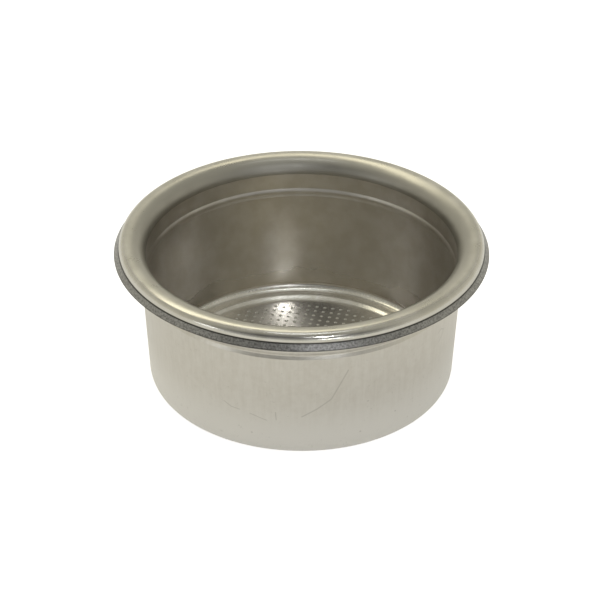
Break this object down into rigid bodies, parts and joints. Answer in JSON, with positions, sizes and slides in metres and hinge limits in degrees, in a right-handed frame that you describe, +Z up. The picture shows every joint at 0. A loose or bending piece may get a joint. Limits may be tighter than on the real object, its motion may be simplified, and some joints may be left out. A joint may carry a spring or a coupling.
{
  "type": "espresso filter basket",
  "caption": "Deep-drawn steel coffee filter basket: a tapered cup with a rolled rim, a retaining bead and a stepped base perforated with pinholes.",
  "frame": {"origin": "on the cup's axis, in the plane of the perforated disc's underside, on which it stands", "axes": "+Z up the cup's axis to its mouth; the rows of pinholes run 12.7 degrees clockwise from +X, seen from above"},
  "size_m": [0.07, 0.07, 0.0305],
  "materials": {
    "steel": "satin"
  },
  "bodies": {
    "root": {"filter_basket": "steel"}
  },
  "joints": []
}
